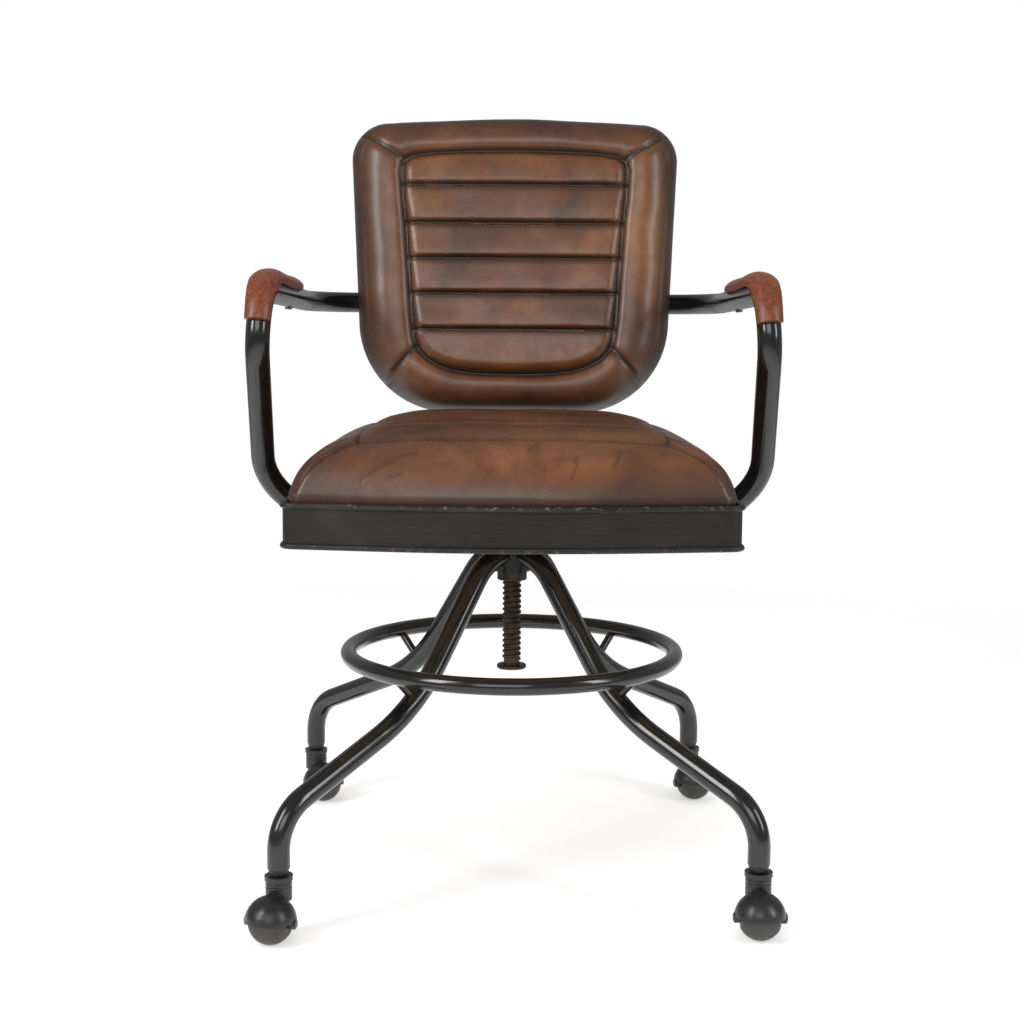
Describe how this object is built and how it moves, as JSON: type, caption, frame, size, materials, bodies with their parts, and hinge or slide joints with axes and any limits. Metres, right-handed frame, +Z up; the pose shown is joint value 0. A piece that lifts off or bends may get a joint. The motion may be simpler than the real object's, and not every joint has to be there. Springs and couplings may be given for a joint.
{
  "type": "swivel office chair",
  "caption": "Swivel office chair with arms: channelled leather seat and back, bent steel tube arms with wooden caps, screw-raised seat, ring footrest and ball casters.",
  "frame": {"origin": "on the floor, on the axis of the threaded spindle that the seat turns on", "axes": "+Z up along the spindle, -Y the way the sitter faces, +X to the right in a view of the chair's front"},
  "size_m": [0.5612, 0.5891, 0.8586],
  "materials": {
    "dark_metal": "gloss near-black gunmetal enamel",
    "tray_metal": "satin dark grey-brown, worn bright on the bead edges",
    "worn_steel": "dark worn steel, brownish",
    "zinc_steel": "blackened zinc",
    "leather": "burnished brown, soft gloss",
    "foam": "upholstery foam",
    "plywood": "raw plywood",
    "arm_wood": "reddish-brown satin, worn pale at the front tips",
    "black_plastic": "matt black",
    "hood_plastic": "satin black",
    "caster_ball": "dark grey, matt"
  },
  "bodies": {
    "base": {"hub_tube": "dark_metal", "spindle_nut": "worn_steel", "footrest_ring": "dark_metal", "leg_front_left": "dark_metal", "leg_front_right": "dark_metal", "leg_rear_left": "dark_metal", "leg_rear_right": "dark_metal", "footrest_strut_front_left": "dark_metal", "footrest_strut_front_right": "dark_metal", "footrest_strut_rear_left": "dark_metal", "footrest_strut_rear_right": "dark_metal", "caster_socket_front_left": "black_plastic", "caster_socket_front_right": "black_plastic", "caster_socket_rear_left": "black_plastic", "caster_socket_rear_right": "black_plastic"},
    "stop_washer": {"stop_washer": "worn_steel"},
    "seat": {"threaded_spindle": "worn_steel", "stop_screw": "worn_steel", "seat_plate": "dark_metal", "seat_plate_bolts": "zinc_steel", "seat_rail_front": "dark_metal", "seat_rail_rear": "dark_metal", "tray_band": "tray_metal", "seat_board": "plywood", "seat_board_screws": "zinc_steel", "seat_foam": "foam", "seat_leather": "leather", "back_leather": "leather", "back_foam": "foam", "back_board": "plywood", "back_panel": "leather", "back_bolts": "zinc_steel", "back_plate_left": "dark_metal", "back_plate_right": "dark_metal", "arm_hoop": "dark_metal", "arm_cap_left": "arm_wood", "arm_cap_right": "arm_wood", "arm_cap_screws_left": "zinc_steel", "arm_cap_screws_right": "zinc_steel"},
    "caster_front_left": {"caster_stem_front_left": "zinc_steel", "caster_hood_front_left": "hood_plastic", "caster_axle_front_left": "zinc_steel"},
    "ball_front_left": {"caster_ball_front_left": "caster_ball"},
    "caster_front_right": {"caster_stem_front_right": "zinc_steel", "caster_hood_front_right": "hood_plastic", "caster_axle_front_right": "zinc_steel"},
    "ball_front_right": {"caster_ball_front_right": "caster_ball"},
    "caster_rear_left": {"caster_stem_rear_left": "zinc_steel", "caster_hood_rear_left": "hood_plastic", "caster_axle_rear_left": "zinc_steel"},
    "ball_rear_left": {"caster_ball_rear_left": "caster_ball"},
    "caster_rear_right": {"caster_stem_rear_right": "zinc_steel", "caster_hood_rear_right": "hood_plastic", "caster_axle_rear_right": "zinc_steel"},
    "ball_rear_right": {"caster_ball_rear_right": "caster_ball"}
  },
  "joints": [
    {"name": "seat_rise", "type": "slide", "parent": "base", "child": "stop_washer", "axis": [0, 0, 1], "range_m": [0, 0.096]},
    {"name": "seat_turn", "type": "hinge", "parent": "stop_washer", "child": "seat", "pos_m": [0, 0, 0.3], "axis": [0, 0, 1], "range_deg": [0, 5760]},
    {"name": "caster_swivel_front_left", "type": "hinge", "parent": "base", "child": "caster_front_left", "pos_m": [-0.22973, -0.24983, 0.07], "axis": [0, 0, 1], "continuous": true},
    {"name": "ball_roll_front_left", "type": "hinge", "parent": "caster_front_left", "child": "ball_front_left", "pos_m": [-0.23505, -0.27118, 0.0225], "axis": [0.9703, -0.2419, 0], "continuous": true},
    {"name": "caster_swivel_front_right", "type": "hinge", "parent": "base", "child": "caster_front_right", "pos_m": [0.24983, -0.22973, 0.07], "axis": [0, 0, 1], "continuous": true},
    {"name": "ball_roll_front_right", "type": "hinge", "parent": "caster_front_right", "child": "ball_front_right", "pos_m": [0.24906, -0.25172, 0.0225], "axis": [0.9994, -0.0349, 0], "continuous": true},
    {"name": "caster_swivel_rear_left", "type": "hinge", "parent": "base", "child": "caster_rear_left", "pos_m": [-0.24983, 0.22973, 0.07], "axis": [0, 0, 1], "continuous": true},
    {"name": "ball_roll_rear_left", "type": "hinge", "parent": "caster_rear_left", "child": "ball_rear_left", "pos_m": [-0.23883, 0.21068, 0.0225], "axis": [0.866, 0.5, 0], "continuous": true},
    {"name": "caster_swivel_rear_right", "type": "hinge", "parent": "base", "child": "caster_rear_right", "pos_m": [0.22973, 0.24983, 0.07], "axis": [0, 0, 1], "continuous": true},
    {"name": "ball_roll_rear_right", "type": "hinge", "parent": "caster_rear_right", "child": "ball_rear_right", "pos_m": [0.23543, 0.22858, 0.0225], "axis": [0.9659, 0.2588, 0], "continuous": true}
  ],
  "couplings": [
    {"joint": "seat_rise", "follows": "seat_turn", "m_per_rad": 0.00095493}
  ]
}
